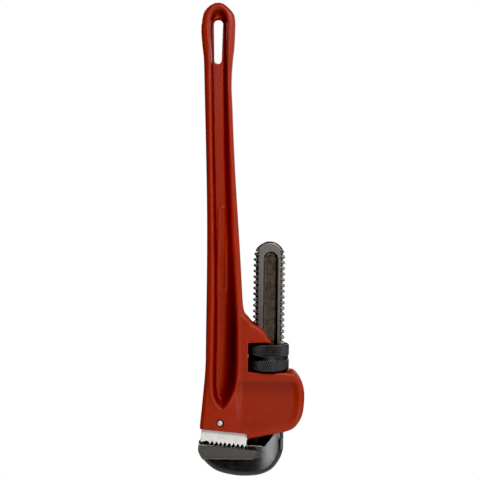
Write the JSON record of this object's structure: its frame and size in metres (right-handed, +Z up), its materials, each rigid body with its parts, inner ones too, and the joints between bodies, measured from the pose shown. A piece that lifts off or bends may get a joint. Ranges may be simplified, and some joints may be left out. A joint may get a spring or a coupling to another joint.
{
  "type": "pipe wrench",
  "caption": "Straight heavy-duty pipe wrench with an I-beam handle, hanging slot, toothed hook and heel jaws, and a knurled adjusting nut.",
  "frame": {"origin": "inner top of the hanging slot in the handle's end, midway between the faces, where a nail or hook carries the wrench", "axes": "+Z up along the shank and the handle, with the jaws at the bottom; +Y square to the flat faces, away from the front; +X from the handle towards the shank"},
  "size_m": [0.1188, 0.046, 0.5213],
  "materials": {
    "red_paint": "glossy red-orange paint on cast iron",
    "forged_black": "black oxide over a forged surface, machined bare on the flats",
    "black_nut": "black oxide, knurled",
    "bright_steel": "ground bare steel",
    "spring_steel": "hardened spring steel"
  },
  "bodies": {
    "handle": {"handle_housing": "red_paint", "heel_jaw": "bright_steel", "heel_jaw_pin": "bright_steel", "spring_rivet": "bright_steel"},
    "jaw_springs": {"flat_spring": "spring_steel", "coil_spring": "spring_steel"},
    "hook_jaw": {"hook_jaw": "forged_black"},
    "nut": {"adjusting_nut": "black_nut"}
  },
  "joints": [
    {"name": "jaw_rock", "type": "hinge", "parent": "handle", "child": "jaw_springs", "pos_m": [0.06, 0, -0.373], "axis": [0, -1, 0], "range_deg": [0, 2.5], "stiffness_Nm_per_rad": 12, "springref_deg": -5.73, "deforming": ["flat_spring", "coil_spring"]},
    {"name": "jaw_travel", "type": "slide", "parent": "jaw_springs", "child": "hook_jaw", "axis": [0, 0, -1], "range_m": [0, 0.088]},
    {"name": "nut_spin", "type": "hinge", "parent": "jaw_springs", "child": "nut", "pos_m": [0.06, 0, -0.373], "axis": [0, 0, 1], "range_deg": [0, 5000]}
  ],
  "couplings": [
    {"joint": "nut_spin", "follows": "jaw_travel", "rad_per_m": 989.48}
  ]
}
